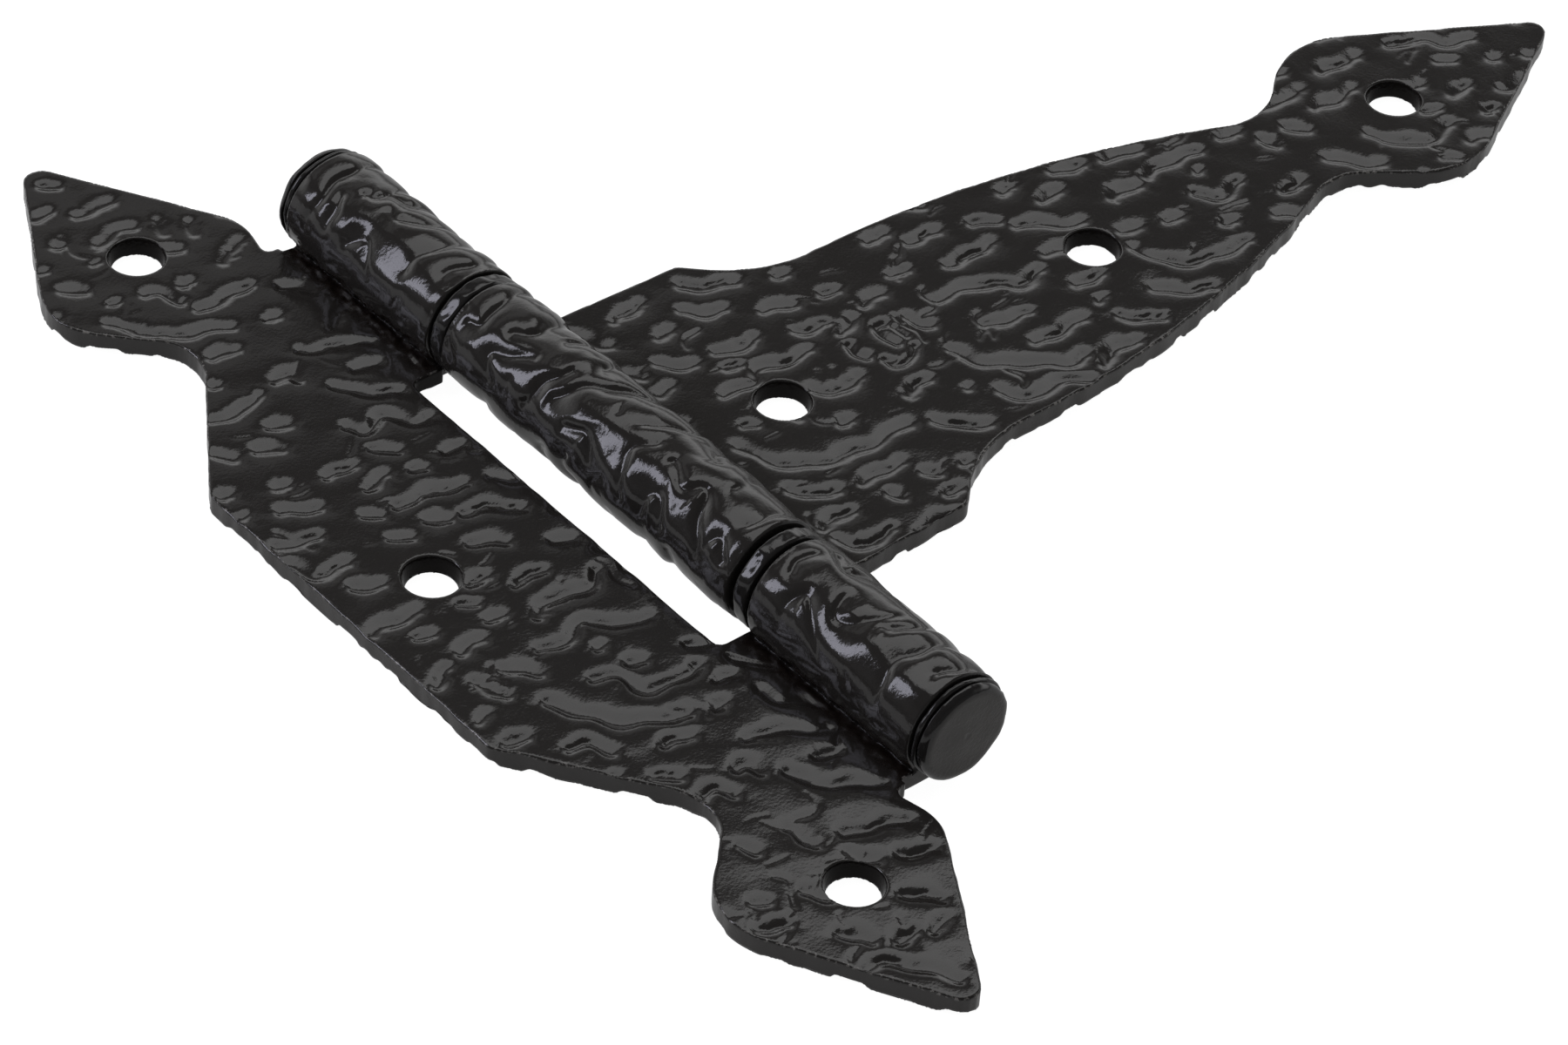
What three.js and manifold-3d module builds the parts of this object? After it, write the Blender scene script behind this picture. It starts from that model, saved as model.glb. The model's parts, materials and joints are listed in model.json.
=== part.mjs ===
// A black ornamental T hinge. The jamb leaf lies towards -X and the long spear-tipped strap towards +X,
// both open flat. The pin runs along Y. The backs of the leaves lie in the plane Z = 0, and the barrel
// stands proud towards +Z. The origin is on the back plane, straight under the middle of the pin.
import * as THREE from "three";
import { mergeVertices } from "three/addons/utils/BufferGeometryUtils.js";
import Module from "manifold-3d";

const wasm = await Module();
wasm.setup();

// Driving dimensions in millimetres
const sheet = 2.4; // thickness of both leaves
const pinRadius = 4.2; // an 8 mm pin and its paint
const runningGap = 0.25; // between the pin and the rolled knuckles, on the radius
const meshGap = 0.3; // between pieces that touch
const axialPlay = 0.4; // the strap sits this far towards +Y, and the lower washer stands loose
const screwHole = 3.5; // radius of the six screw holes, for 1/4 inch screws
const strapLength = 152.4; // 6 inches, pin axis to tip
const washer = { thick: 2.3, outer: 6.55 }; // between the knuckles
const endWasher = { thick: 0.7, outer: 6.5 }; // under the pin's heads
const head = { thick: 1.2, outer: 6.4, rim: 0.6 };
const facets = 60; // sides of a full circle on the barrel

// Worked out from them
const boreRadius = pinRadius + runningGap;
const barrelRadius = boreRadius + sheet;
const axisHeight = barrelRadius; // the barrel is flush with the leaves' backs
const washerInner = pinRadius + meshGap;

// Along the pin
const jambKnuckle = { inner: 29.8, outer: 57.6 }; // one at each end
const strapKnuckleHalf = jambKnuckle.inner - washer.thick - 2 * meshGap - axialPlay;
const endWasherStart = jambKnuckle.outer + meshGap;
const headStart = endWasherStart + endWasher.thick + meshGap;
const plateClearance = barrelRadius + 0.35; // a leaf's flat sheet ends here beside the washers

// Outlines are lists of corners [x, y, radius], for the +Y half of each leaf.
const windowHalf = 28.7;
const windowEdge = -9.8;
const jambEnd = 58.5;
const jambOutline = [
  [windowEdge, windowHalf, 1.2],
  [-plateClearance, windowHalf, 0],
  [-plateClearance, jambEnd, 0],
  [-9.3, jambEnd, 1.1],
  [-7.6, 65.2, 7.3], // inner bulge of the spear tip
  [-23.1, 90.2, 2.3], // tip
  [-39, 61.9, 9], // outer bulge
  [-25.2, 48.9, 6.7], // neck
  [-40.9, 26.4, 1.5],
];
const jambHoles = [
  [-22.1, 67.1],
  [-28.7, 0],
  [-22.1, -67.1],
];

const tipRadius = 1.9;
const tipHalfAngle = THREE.MathUtils.degToRad(28.5);
const tipCorner = strapLength + tipRadius / Math.sin(tipHalfAngle) - tipRadius;
const spearHalf = 17.1; // half the spear tip's width, before its bulge is rounded
const strapOutline = [
  [plateClearance, 27.9, 0],
  [29.9, 27, 1.5], // shoulder
  [37.5, 19.7, 18.6],
  [74.7, 19.7, 149], // the long taper
  [109.2, 6.5, 8.6], // neck
  [tipCorner - spearHalf / Math.tan(tipHalfAngle), spearHalf, 11.6],
  [tipCorner, 0, tipRadius],
];
const strapHoles = [
  [24.2, 0],
  [74, 0],
  [125.8, 0],
];

const blackEnamel = { color: 0x262426, roughness: 0.28, metalness: 0 };

// A closed path through corners, each rounded to its own radius.
function roundedShape(corners) {
  const shape = new THREE.Shape();
  const points = corners.map(([x, y]) => new THREE.Vector2(x, y));
  corners.forEach(([, , radius], i) => {
    const corner = points[i];
    const before = points.at(i - 1).clone().sub(corner).normalize();
    const after = points[(i + 1) % points.length].clone().sub(corner).normalize();
    const half = Math.acos(before.dot(after)) / 2;
    const start = corner.clone().addScaledVector(before, radius / Math.tan(half));
    if (i === 0) shape.moveTo(start.x, start.y);
    else shape.lineTo(start.x, start.y);
    if (radius === 0) return;
    const end = corner.clone().addScaledVector(after, radius / Math.tan(half));
    const centre = before.clone().add(after).setLength(radius / Math.sin(half)).add(corner);
    const from = start.clone().sub(centre).angle();
    const to = end.clone().sub(centre).angle();
    shape.absarc(centre.x, centre.y, radius, from, to, before.cross(after) > 0);
  });
  shape.closePath();
  return shape;
}

function mirrored(half) {
  const other = half.map(([x, y, radius]) => [x, -y, radius]).reverse();
  return [...half, ...other.filter(([, y]) => y !== 0)];
}

function screwHolePath([x, y]) {
  const path = new THREE.Path();
  path.absarc(x, y, screwHole, 0, 2 * Math.PI, false);
  return path;
}

// A circle as a polygon whose sides touch it, with one side flat across the bottom.
function facetedCircle(radius) {
  const step = (2 * Math.PI) / facets;
  const outside = radius / Math.cos(step / 2);
  return Array.from({ length: facets }, (_, i) => {
    const angle = (i + 0.5) * step - Math.PI / 2;
    return new THREE.Vector2(outside * Math.cos(angle), outside * Math.sin(angle));
  });
}

function solid(geometry) {
  const bare = geometry.index ? geometry.toNonIndexed() : geometry.clone();
  bare.deleteAttribute("normal");
  bare.deleteAttribute("uv");
  const merged = mergeVertices(bare, 1e-4);
  return new wasm.Manifold(
    new wasm.Mesh({
      numProp: 3,
      vertProperties: new Float32Array(merged.attributes.position.array),
      triVerts: new Uint32Array(merged.index.array),
    }),
  );
}

function geometryOf(manifold) {
  const mesh = manifold.getMesh();
  const geometry = new THREE.BufferGeometry();
  geometry.setAttribute("position", new THREE.BufferAttribute(mesh.vertProperties, 3));
  geometry.setIndex(new THREE.BufferAttribute(mesh.triVerts, 1));
  geometry.computeVertexNormals();
  return geometry;
}

// The flat sheet of a leaf, lying on the back plane.
function plate(corners, holes) {
  const shape = roundedShape(corners);
  shape.holes = holes.map(screwHolePath);
  const options = { depth: sheet, bevelEnabled: false, curveSegments: 12 };
  return solid(new THREE.ExtrudeGeometry(shape, options));
}

// A knuckle from low to high along the pin: a tube, the stretch of sheet that it is rolled from, and
// the slit where the end of the roll comes back down on the sheet. side is the sheet's side, +1 or -1.
function knuckle(low, high, side) {
  const length = high - low;
  const middle = (low + high) / 2;
  const ring = new THREE.Shape(facetedCircle(barrelRadius));
  ring.holes = [new THREE.Path(facetedCircle(boreRadius))];
  const tube = new THREE.ExtrudeGeometry(ring, { depth: length, bevelEnabled: false });
  tube.rotateX(Math.PI / 2).translate(0, high, axisHeight);
  const stub = new THREE.BoxGeometry(plateClearance + 1, length, sheet);
  stub.translate((side * (plateClearance + 1)) / 2, middle, sheet / 2);
  const slit = new THREE.BoxGeometry(barrelRadius + 1, length + 1, meshGap);
  slit.translate((side * (barrelRadius + 1)) / 2, middle, sheet + meshGap / 2);
  return solid(tube).subtract(solid(slit)).add(solid(stub));
}

function jambLeaf() {
  return geometryOf(
    plate(mirrored(jambOutline), jambHoles)
      .add(knuckle(jambKnuckle.inner, jambKnuckle.outer, -1))
      .add(knuckle(-jambKnuckle.outer, -jambKnuckle.inner, -1)),
  );
}

function strapLeaf() {
  const shifted = mirrored(strapOutline).map(([x, y, radius]) => [x, y + axialPlay, radius]);
  const holes = strapHoles.map(([x, y]) => [x, y + axialPlay]);
  const low = axialPlay - strapKnuckleHalf;
  const high = axialPlay + strapKnuckleHalf;
  return geometryOf(plate(shifted, holes).add(knuckle(low, high, 1)));
}

// A flat ring about the pin's axis, its outer edges broken by a small chamfer.
function ringGeometry(low, thick, outer) {
  const chamfer = 0.15;
  const profile = [
    [washerInner, low],
    [outer - chamfer, low],
    [outer, low + chamfer],
    [outer, low + thick - chamfer],
    [outer - chamfer, low + thick],
    [washerInner, low + thick],
    [washerInner, low],
  ];
  return new THREE.LatheGeometry(profile.map(([r, y]) => new THREE.Vector2(r, y)), facets);
}

// The pin and its two heads, one flattened over each end of the barrel.
function pinGeometry() {
  const rimSteps = 4;
  const upperHalf = [
    [pinRadius, headStart],
    [head.outer, headStart],
  ];
  for (let i = 0; i <= rimSteps; i++) {
    const angle = (i / rimSteps) * (Math.PI / 2);
    upperHalf.push([
      head.outer - head.rim * (1 - Math.cos(angle)),
      headStart + head.thick - head.rim * (1 - Math.sin(angle)),
    ]);
  }
  upperHalf.push([0, headStart + head.thick]);
  const lowerHalf = upperHalf.map(([r, y]) => [r, -y]).reverse();
  const profile = [...lowerHalf, ...upperHalf].map(([r, y]) => new THREE.Vector2(r, y));
  return new THREE.LatheGeometry(profile, facets);
}

const hinge = new THREE.Group();

function addPiece(name, geometry, parent) {
  const piece = new THREE.Mesh(geometry, new THREE.MeshStandardMaterial(blackEnamel));
  piece.name = name;
  parent.add(piece);
}

addPiece("jamb_leaf", jambLeaf(), hinge);
addPiece("strap_leaf", strapLeaf(), hinge);

const onAxis = new THREE.Group();
onAxis.position.z = axisHeight;
hinge.add(onAxis);
addPiece("hinge_pin", pinGeometry(), onAxis);

const upperWasherLow = axialPlay + strapKnuckleHalf + meshGap;
const lowerFreePlay = (jambKnuckle.inner - strapKnuckleHalf + axialPlay - washer.thick) / 2;
const lowerWasherLow = -jambKnuckle.inner + lowerFreePlay;
addPiece("upper_washer", ringGeometry(upperWasherLow, washer.thick, washer.outer), onAxis);
addPiece("lower_washer", ringGeometry(lowerWasherLow, washer.thick, washer.outer), onAxis);
for (const [name, low] of [
  ["upper_end_washer", endWasherStart],
  ["lower_end_washer", -endWasherStart - endWasher.thick],
])
  addPiece(name, ringGeometry(low, endWasher.thick, endWasher.outer), onAxis);

export default hinge;
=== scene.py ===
import json
import math

import bpy
import numpy as np
from mathutils import Matrix, Vector


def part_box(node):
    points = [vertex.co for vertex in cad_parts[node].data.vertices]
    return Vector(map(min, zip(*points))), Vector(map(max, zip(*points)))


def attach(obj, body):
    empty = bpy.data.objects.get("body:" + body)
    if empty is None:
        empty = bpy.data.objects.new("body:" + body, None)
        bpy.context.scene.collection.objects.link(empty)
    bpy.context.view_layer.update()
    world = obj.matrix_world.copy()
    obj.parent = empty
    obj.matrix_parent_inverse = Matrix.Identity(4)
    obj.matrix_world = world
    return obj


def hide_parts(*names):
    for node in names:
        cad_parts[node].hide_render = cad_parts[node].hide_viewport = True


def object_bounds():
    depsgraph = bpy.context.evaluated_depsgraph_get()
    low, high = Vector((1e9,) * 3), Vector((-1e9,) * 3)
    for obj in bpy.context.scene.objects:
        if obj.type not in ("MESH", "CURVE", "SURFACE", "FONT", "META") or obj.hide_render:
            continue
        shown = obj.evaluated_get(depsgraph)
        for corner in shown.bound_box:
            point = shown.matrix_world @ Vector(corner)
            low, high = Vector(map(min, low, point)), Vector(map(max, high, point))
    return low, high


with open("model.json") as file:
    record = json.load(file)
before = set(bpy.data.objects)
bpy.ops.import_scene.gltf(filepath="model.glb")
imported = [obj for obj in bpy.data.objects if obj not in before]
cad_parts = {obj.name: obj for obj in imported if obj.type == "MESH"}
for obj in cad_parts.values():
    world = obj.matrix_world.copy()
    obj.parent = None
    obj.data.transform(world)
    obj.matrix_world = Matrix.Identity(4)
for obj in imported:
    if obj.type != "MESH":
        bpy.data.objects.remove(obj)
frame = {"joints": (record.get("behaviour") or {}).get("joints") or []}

CAD_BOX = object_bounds()
MM = 0.001

# ---------------------------------------------------------------- dimensions, in millimetres
AXIS_Z = frame["joints"][0]["pos_m"][2] / MM  # height of the pin's axis over the back plane
BARREL = AXIS_Z  # outer radius of the knuckles, which are flush with the backs
SHEET = 2.4
BORE = BARREL - SHEET
PIN = 4.2
PLAY = 0.4  # the strap sits this far towards +Y
STUB_X = 7.2  # the flat sheet ends here beside the washers
JAMB_KNUCKLE = (29.8, 57.6)
STRAP_KNUCKLE = (-26.1, 26.9)
WINDOW_END = 28.7
HOLE_TOP = 3.6
HOLE_BOTTOM = 3.1
TOP_EDGE_RADIUS = 0.2
BOTTOM_EDGE_RADIUS = 0.12
KNUCKLE_EDGE_RADIUS = 0.3
HEAD_RADIUS = 6.4
HEAD_THICK = 1.2
HEAD_RIM_RADIUS = 1.05
HEAD_BACK_RADIUS = 0.12
HEAD_FACES_FROM = 58.5  # the pin's end faces lie beyond this
WASHER_FIT = 0.1  # gap between the pin and a washer

# Corners of half of each leaf's outline, as (x, y, corner radius). The other half mirrors it.
JAMB_HALF = [
    (-9.8, WINDOW_END, 1.2),
    (-4.85, WINDOW_END, 0),
    (-4.85, JAMB_KNUCKLE[0], 0),
    (0, JAMB_KNUCKLE[0], 0),
    (0, JAMB_KNUCKLE[1], 0),
    (-STUB_X, JAMB_KNUCKLE[1], 0),
    (-STUB_X, 58.5, 0),
    (-9.3, 58.5, 1.1),
    (-7.6, 65.2, 7.3),
    (-23.1, 90.2, 2.3),
    (-39, 61.9, 9),
    (-25.2, 48.9, 6.7),
    (-40.9, 26.4, 1.5),
]
JAMB_HOLES = [(-22.1, 67.1), (-28.7, 0), (-22.1, -67.1)]

TIP_RADIUS = 1.9
TIP_HALF_ANGLE = math.radians(28.5)
TIP_CORNER = CAD_BOX[1][0] / MM + TIP_RADIUS / math.sin(TIP_HALF_ANGLE) - TIP_RADIUS
SPEAR_HALF = 17.1
STRAP_HALF = [
    (0, 26.5, 0),
    (STUB_X, 26.5, 0),
    (STUB_X, 27.9, 0),
    (29.9, 27, 1.5),
    (37.5, 19.7, 18.6),
    (74.7, 19.7, 149),
    (109.2, 6.5, 8.6),
    (TIP_CORNER - SPEAR_HALF / math.tan(TIP_HALF_ANGLE), SPEAR_HALF, 11.6),
    (TIP_CORNER, 0, TIP_RADIUS),
]
STRAP_HOLES = [(24.2, PLAY), (74, PLAY), (125.8, PLAY)]

CELL = 0.26  # spacing of the leaves' mesh
FAR = np.array([0.68, 0.73])  # the tool leaned this way, so each mark's wall is long on this side
STEEP_SIDE = 0.42  # width of the steep side of a mark, as a share of the long side
GROOVE_SHIFT = 0.95  # a groove's deepest line lies this far from the middle of its long wall
GROOVE_TRIM = 0.65  # and ends this far before the wall does
KNUCKLE_TURN = 6.6  # radians round a knuckle that its marks cover, a little over a full turn
SEAM_X = 5.6  # middle of the lumpy seam where a roll closes on its sheet
SEAM_Z = 2.9

# Hammer marks that can be told apart, as lines through the middles of their long walls.
STRAP_MARKS = [
    [(17, 24), (23, 25)],
    [(28, 25), (31.5, 22.5), (35, 21.5)],
    [(25, 21.5), (27.5, 19), (30.5, 18)],
    [(19.5, 18.5), (22.5, 19)],
    [(16.5, 15.5), (18, 13.5), (21, 12)],
    [(13, 10), (16, 11)],
    [(33, 15.5), (38, 14)],
    [(38.5, 19.5), (41, 19)],
    [(41, 13.5), (44, 13)],
    [(23.5, 13), (26, 11.5), (30, 12)],
    [(22.5, 9.5), (25.5, 9)],
    [(34, 10.5), (36, 9), (39, 9)],
    [(19, 6), (24, 5.5), (26, 7), (31, 6), (34, 6.5)],
    [(38, 6), (42, 8)],
    [(43.5, 9), (48, 9.5)],
    [(50, 11.5), (53.5, 11)],
    [(52, 18), (56, 18)],
    [(56, 15), (61.5, 14.5)],
    [(65, 13.5), (69, 11.5)],
    [(72, 15.5), (75, 16)],
    [(75, 11.5), (79, 12)],
    [(80, 15), (85, 14)],
    [(87, 13.5), (93, 12)],
    [(57, 9), (60, 8.5), (65.5, 9)],
    [(69, 9.5), (72, 9), (74, 6.5), (77.5, 5.5)],
    [(82.5, 7), (88, 7)],
    [(89, 7.5), (93, 8), (99, 7.5)],
    [(51.5, 4.5), (57, 4), (60, 2.5), (62.5, 0.5), (67, 1.5)],
    [(46.7, 4.6), (47.4, 2.6), (48.8, 0.8)],
    [(29, 1), (30.5, -1.5), (35.5, -1)],
    [(53, -2.5), (57, -3.5), (60.5, -4)],
    [(67.5, -3.5), (72.5, -3.5)],
    [(85, -0.5), (88, -1)],
    [(92, 2), (94, -1), (99, 0)],
    [(106.5, 5), (107.5, 2)],
    [(110.5, 5), (113, 2)],
    [(90.5, -5), (93, -5.5)],
    [(101, -5), (105.5, -4.5)],
    [(110.5, -2.5), (113.5, -6.5), (116, -8.5)],
    [(78.5, -1.5), (80, -6), (84, -9), (92, -9.5)],
    [(15, -2), (16.5, -7), (21, -10.5), (28, -11.5), (34.5, -11)],
    [(27, -6.5), (29.5, -6.5)],
    [(37, -7), (42, -6)],
    [(47, -3), (49, -8), (54, -11.5), (57, -14), (60.5, -14)],
    [(56, -8.5), (59, -9), (65, -8.5)],
    [(68, -10.5), (70, -13), (73, -14.5)],
    [(75, -9), (78, -12), (82, -14)],
    [(47, -12.5), (49, -16), (54, -16), (58, -18)],
    [(37, -12), (39, -15), (42.5, -17)],
    [(15, -11.5), (16, -14), (20, -15.5)],
    [(22, -16), (29.5, -16)],
    [(60, -17), (63, -15.5), (67.5, -15.5)],
    [(13, -19.5), (19, -19)],
    [(24, -19), (25, -21.5)],
    [(29.5, -18.5), (31.5, -20.5)],
    [(34, -20.5), (36, -20.5)],
    [(14, -21), (15, -24.5), (21, -24.5)],
    [(29, -23.5), (32, -23.5)],
    [(22, -26.5), (29, -26.5)],
    [(122, 10.5), (129, 10)],
    [(116, 5.5), (120, 5), (124, 5.5)],
    [(118, -2), (120, -5), (123.5, -8), (129, -7)],
    [(132.5, -3), (136.5, -2.5)],
    [(133.5, -8), (136, -8)],
    [(142, 0), (143.5, -1)],
    [(133, 9.5), (138, 8), (140, 5.5), (144, 4)],
    [(102, 8), (105.5, 7.5)],
]
JAMB_MARKS = [
    [(-23.5, 86), (-21, 84)],
    [(-28, 80.5), (-24.5, 81)],
    [(-23.5, 78.5), (-20, 78), (-17.5, 78.5)],
    [(-29, 75), (-27, 74.5)],
    [(-24.5, 72), (-21, 73), (-18, 72.5)],
    [(-33, 68), (-30, 65.5)],
    [(-18.5, 67), (-16, 65.5)],
    [(-25.5, 61.5), (-23.5, 60.5), (-22, 57)],
    [(-22, 55), (-18, 55), (-13, 55.5)],
    [(-21, 60), (-18.5, 60)],
    [(-32, 60), (-30, 56.5), (-27, 53), (-23, 51.5), (-19.5, 50)],
    [(-26, 47), (-21.5, 46.5)],
    [(-29, 43), (-27.5, 42)],
    [(-33, 37.5), (-28, 37), (-24.5, 38.5)],
    [(-22.5, 39), (-20, 39), (-19.5, 37)],
    [(-16.5, 49), (-14, 48.5)],
    [(-16.5, 42.5), (-14, 40.5), (-10, 39.5), (-8, 37.5)],
    [(-13.5, 35.5), (-9.5, 34.5)],
    [(-17, 35), (-15, 31.5), (-10.5, 28.5)],
    [(-11, 53.5), (-8, 50)],
    [(-36, 33), (-34, 30)],
    [(-28, 33), (-25, 31.5)],
    [(-20.5, 28), (-19, 25.5), (-15.5, 26.5), (-13, 23.5), (-10.5, 23)],
    [(-40, 26), (-38, 25.5)],
    [(-34, 23.5), (-31.5, 23)],
    [(-28, 21.5), (-23, 21.5)],
    [(-20.5, 23), (-17.5, 20)],
    [(-36, 20), (-31, 17.5)],
    [(-25.5, 17), (-21, 18)],
    [(-14, 17), (-10.5, 17)],
    [(-40, 15), (-34, 13.5)],
    [(-28.5, 14), (-26, 12)],
    [(-24.5, 12.5), (-20, 12.5), (-14.5, 11)],
    [(-40, 12.5), (-39, 8.5), (-34, 8)],
    [(-28.5, 9), (-25.5, 7)],
    [(-23, 9), (-20, 7)],
    [(-19, 7.5), (-15, 6), (-12, 3.5)],
    [(-37, 4.5), (-33, 2.5)],
    [(-21.5, 3), (-17, 0)],
    [(-26, -3), (-22.5, -3)],
    [(-13.5, -2.5), (-10.5, -4)],
    [(-36.5, -6.5), (-33.5, -7.5)],
    [(-22, -6), (-16.5, -6)],
    [(-28, -9), (-25, -9.5)],
    [(-34, -11.5), (-29.5, -11)],
    [(-23, -12.5), (-20, -10.5), (-15, -11.5), (-11.5, -9.5)],
    [(-39.5, -14.5), (-35.5, -12.5)],
    [(-35.5, -16), (-33.5, -21)],
    [(-31.5, -16), (-28, -20)],
    [(-26.5, -16.5), (-22, -17), (-18.5, -15.5), (-16, -18.5), (-11.5, -19.5)],
    [(-31, -23.5), (-28, -28.5), (-25, -32), (-18.5, -35)],
    [(-24.5, -23.5), (-21.5, -25), (-20, -29), (-15, -29.5), (-12.5, -29)],
    [(-19.5, -24), (-17, -25)],
    [(-39, -26.5), (-35.5, -27)],
    [(-34, -31), (-31, -32), (-29.5, -35)],
    [(-25, -37), (-20.5, -37.5)],
    [(-29, -40), (-26, -42.5)],
    [(-16.5, -36), (-14, -35.5)],
    [(-17, -42), (-14, -42), (-10, -44.5), (-7.5, -46.5)],
    [(-27, -46.5), (-24, -46), (-23, -48.5)],
    [(-21, -45), (-19, -45), (-18.5, -47.5)],
    [(-16, -48), (-15, -51.5), (-12, -54), (-8, -56.5)],
    [(-12.5, -48.5), (-9, -49.5)],
    [(-28, -54), (-27, -57)],
    [(-22, -55), (-21, -60)],
    [(-18, -60), (-14, -61), (-9.5, -62.5)],
    [(-33, -62), (-30.5, -63.5)],
    [(-35, -65.5), (-31, -67.5)],
    [(-28, -71), (-25.5, -75)],
    [(-30, -77), (-26, -78.5), (-21.5, -85)],
    [(-24, -76.5), (-20.5, -76)],
    [(-20, -77.5), (-16.5, -76.5)],
    [(-18.5, -70.5), (-15, -74.5)],
    [(-15, -66), (-10.5, -68)],
]
# Creases over the knuckles: distance along the pin, and degrees over the top towards -X.
KNUCKLE_CREASES = [
    [(-57, -60), (-56.7, -25), (-55.7, 8)],
    [(-53.5, -80), (-52.6, -45), (-51.7, -3), (-50.8, 33), (-51.5, 70)],
    [(-49.5, -75), (-48.6, -40), (-47.5, 0), (-46, 7)],
    [(-45.5, -15), (-43.5, 25), (-41, 32), (-40, 12)],
    [(-43, -75), (-39, -45), (-36, -20), (-33.5, -25)],
    [(-42.5, 75), (-38.5, 50), (-36, 32), (-34.5, 50), (-35, 75)],
    [(-32.5, -5), (-31.5, 12), (-32.5, 25)],
    [(-24, -70), (-24.3, -20), (-23.8, 18)],
    [(-24.5, 60), (-22.5, 45), (-21, 62)],
    [(-20, 75), (-18.5, 50), (-16, 18), (-13.5, 30), (-10, 17)],
    [(-19, -70), (-17.5, -40), (-18.5, -5)],
    [(-12.5, -75), (-11, -45), (-13, -20)],
    [(-14, 78), (-12, 55), (-10.5, 60), (-10, 80)],
    [(-8, -85), (-7, -45), (-5.5, -14), (-3.3, 5)],
    [(-6.7, 12), (-5, 35), (-5.5, 60), (-7, 80)],
    [(0, -80), (1, -35), (4.3, -3), (6.8, 23), (8.6, 45)],
    [(0, 70), (2, 50), (5, 62)],
    [(9.3, 12), (10.8, 41), (12, 70)],
    [(7, -75), (8, -45), (7.5, -20)],
    [(12.7, -85), (12.7, -45), (13.5, -15)],
    [(14, 28), (17, 40), (19.3, 52), (18, 75)],
    [(18.5, -75), (17.4, -19), (17, 2), (19, 20)],
    [(25, -70), (24, -8), (23, 33), (25, 40)],
    [(32.5, -70), (31.5, -20), (32.3, 20)],
    [(35.5, -70), (35.5, -19), (36.6, 12), (37, 42)],
    [(39, -75), (39, -45), (41, -14), (43, 7), (45, 5)],
    [(43.6, -60), (45.5, -24), (48, -10)],
    [(42, 75), (44, 45), (46.5, 62)],
    [(49, -75), (48.3, -3), (49.5, 10)],
    [(51.3, 28), (50.5, 60)],
    [(54.5, -70), (54, 7), (53.7, 54), (54.5, 80)],
]


# ---------------------------------------------------------------- outlines
def mirrored(half):
    return half + [(x, -y, r) for x, y, r in reversed(half) if y != 0]


def rounded(corners, shift_y=0.0):
    """The closed path through the corners, each rounded to its own radius."""
    points = []
    count = len(corners)
    for i, (x, y, radius) in enumerate(corners):
        corner = np.array([x, y], float)
        if radius == 0:
            points.append(corner)
            continue
        before = np.array(corners[i - 1][:2]) - corner
        after = np.array(corners[(i + 1) % count][:2]) - corner
        before = before / np.hypot(*before)
        after = after / np.hypot(*after)
        half = math.acos(float(before @ after)) / 2
        middle = (before + after) / np.hypot(*(before + after))
        centre = corner + middle * radius / math.sin(half)
        start = corner + before * radius / math.tan(half) - centre
        end = corner + after * radius / math.tan(half) - centre
        first = math.atan2(start[1], start[0])
        turn = (math.atan2(end[1], end[0]) - first + math.pi) % (2 * math.pi) - math.pi
        steps = max(4, int(abs(turn) * radius / 0.8))
        for t in np.linspace(0, 1, steps + 1):
            angle = first + turn * t
            points.append(centre + radius * np.array([math.cos(angle), math.sin(angle)]))
    return np.array(points) + [0, shift_y]


class Grid:
    """Values on a regular grid over a rectangle, read back between its points."""

    def __init__(self, low, high, cell):
        self.low = np.array(low, float)
        self.cell = cell
        self.shape = tuple(int(math.ceil((b - a) / cell)) + 1 for a, b in zip(low, high))
        self.values = np.zeros(self.shape, np.float32)

    def axes(self):
        return [self.low[i] + self.cell * np.arange(self.shape[i]) for i in (0, 1)]

    def __call__(self, u, v):
        a = np.clip((u - self.low[0]) / self.cell, 0, self.shape[0] - 1.001)
        b = np.clip((v - self.low[1]) / self.cell, 0, self.shape[1] - 1.001)
        i = a.astype(int)
        j = b.astype(int)
        a = a - i
        b = b - j
        grid = self.values
        return (
            grid[i, j] * (1 - a) * (1 - b)
            + grid[i + 1, j] * a * (1 - b)
            + grid[i, j + 1] * (1 - a) * b
            + grid[i + 1, j + 1] * a * b
        )


def plan_distance(outline):
    """Signed distance to an outline in the XY plane, negative inside."""
    plan = Grid(outline.min(0) - 3, outline.max(0) + 3, 0.2)
    u, v = np.meshgrid(*plan.axes(), indexing="ij")
    nearest = np.full(u.shape, 1e9)
    inside = np.zeros(u.shape, bool)
    for a, b in zip(outline, np.roll(outline, -1, 0)):
        d = b - a
        length = d @ d
        if length < 1e-9:
            continue
        t = np.clip(((u - a[0]) * d[0] + (v - a[1]) * d[1]) / length, 0, 1)
        nearest = np.minimum(nearest, (u - a[0] - t * d[0]) ** 2 + (v - a[1] - t * d[1]) ** 2)
        if a[1] != b[1]:
            crosses = (a[1] > v) != (b[1] > v)
            inside ^= crosses & (u < (v - a[1]) * d[0] / d[1] + a[0])
    nearest = np.sqrt(nearest)
    plan.values = np.where(inside, -nearest, nearest).astype(np.float32)
    return plan


# ---------------------------------------------------------------- solid shape of a leaf
def smooth_step(low, high, x):
    t = np.clip((x - low) / (high - low), 0, 1)
    return t * t * (3 - 2 * t)


def rounded_slab(a, b, radius):
    """Distance to where both a and b are negative, with the edge between them rounded."""
    a = a + radius
    b = b + radius
    outside = np.hypot(np.maximum(a, 0), np.maximum(b, 0))
    return np.minimum(np.maximum(a, b), 0) + outside - radius


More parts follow.
